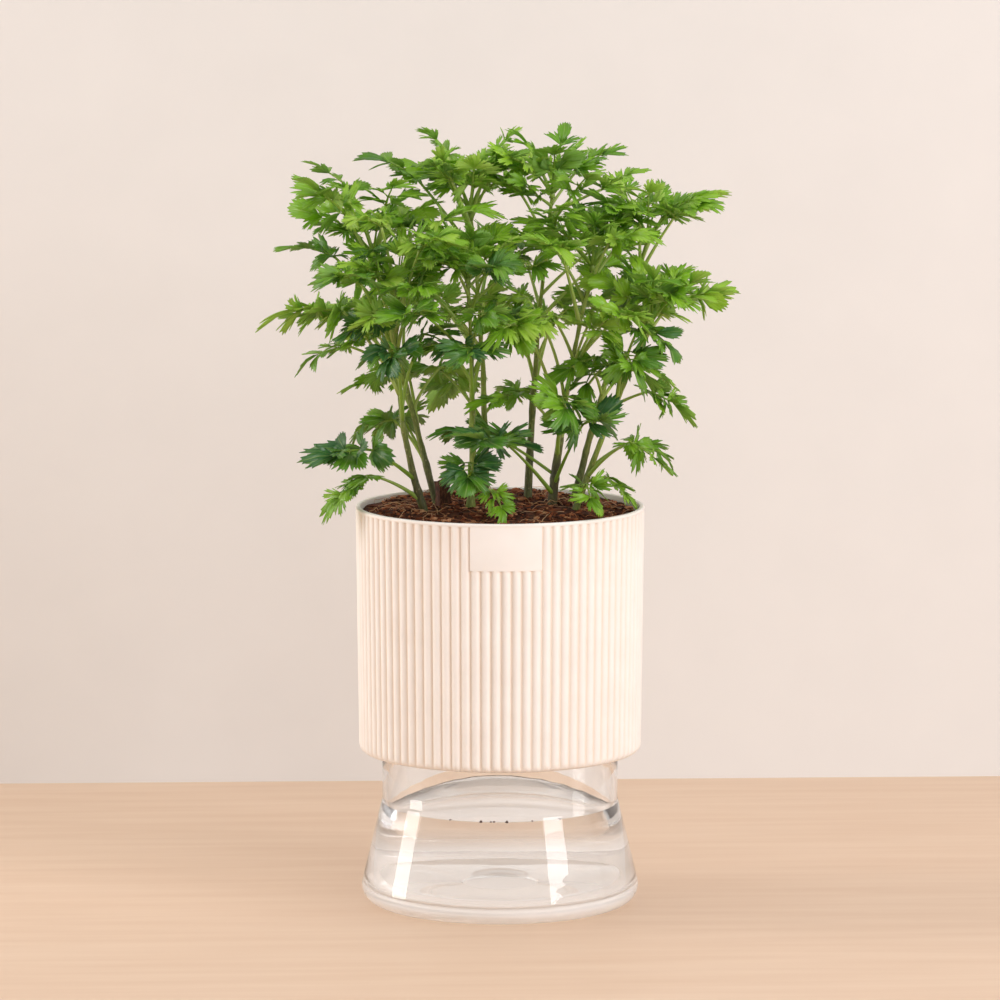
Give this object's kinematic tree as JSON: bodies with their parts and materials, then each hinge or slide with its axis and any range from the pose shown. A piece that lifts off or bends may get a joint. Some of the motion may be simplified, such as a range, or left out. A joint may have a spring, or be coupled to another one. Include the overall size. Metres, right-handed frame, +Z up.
{
  "type": "potted aralia",
  "caption": "Young parsley aralia in a ribbed cream pot that lifts off a clear self-watering reservoir.",
  "frame": {"origin": "centre of the reservoir's foot, on the surface that the planter stands on", "axes": "+Z up through the axis of the pot and the reservoir; the pot's smooth panel faces -Y"},
  "size_m": [0.1927, 0.1388, 0.3218],
  "materials": {
    "clear_plastic": "gloss",
    "water": "gloss",
    "cream_plastic": "satin",
    "coir_mix": "matte",
    "bark": "matte",
    "cane_bark": "satin",
    "young_leaf": "satin",
    "leaf": "satin"
  },
  "bodies": {
    "stand": {"reservoir": "clear_plastic", "water": "water"},
    "planted_pot": {"pot": "cream_plastic", "potting_mix": "coir_mix", "bark_chip": "bark", "cane_1": "cane_bark", "cane_2": "cane_bark", "cane_3": "cane_bark", "cane_4": "cane_bark", "cane_5": "cane_bark", "cane_6": "cane_bark", "cane_7": "cane_bark", "cane_8": "cane_bark", "shoot_1": "young_leaf", "shoot_2": "young_leaf", "shoot_3": "young_leaf", "shoot_4": "young_leaf", "shoot_5": "young_leaf", "shoot_6": "young_leaf", "shoot_7": "young_leaf", "shoot_8": "young_leaf", "leaf_01": "leaf", "leaf_02": "leaf", "leaf_03": "leaf", "leaf_04": "leaf", "leaf_05": "leaf", "leaf_06": "leaf", "leaf_07": "leaf", "leaf_08": "leaf", "leaf_09": "leaf", "leaf_10": "leaf", "leaf_11": "leaf", "leaf_12": "leaf", "leaf_13": "leaf", "leaf_14": "leaf", "leaf_15": "leaf", "leaf_16": "leaf", "leaf_17": "leaf", "leaf_18": "leaf", "leaf_19": "leaf", "leaf_20": "leaf", "leaf_21": "leaf", "leaf_22": "leaf", "leaf_23": "leaf", "leaf_24": "leaf", "leaf_25": "leaf", "leaf_26": "leaf", "leaf_27": "leaf", "leaf_28": "leaf", "leaf_29": "leaf", "leaf_30": "leaf", "leaf_31": "leaf", "leaf_32": "leaf", "leaf_33": "leaf", "leaf_34": "leaf", "leaf_35": "leaf", "leaf_36": "leaf", "leaf_37": "leaf", "leaf_38": "leaf", "leaf_39": "leaf"}
  },
  "joints": [
    {"name": "pot_lift", "type": "slide", "parent": "stand", "child": "planted_pot", "axis": [0, 0, 1], "range_m": [0, 0.06]}
  ]
}
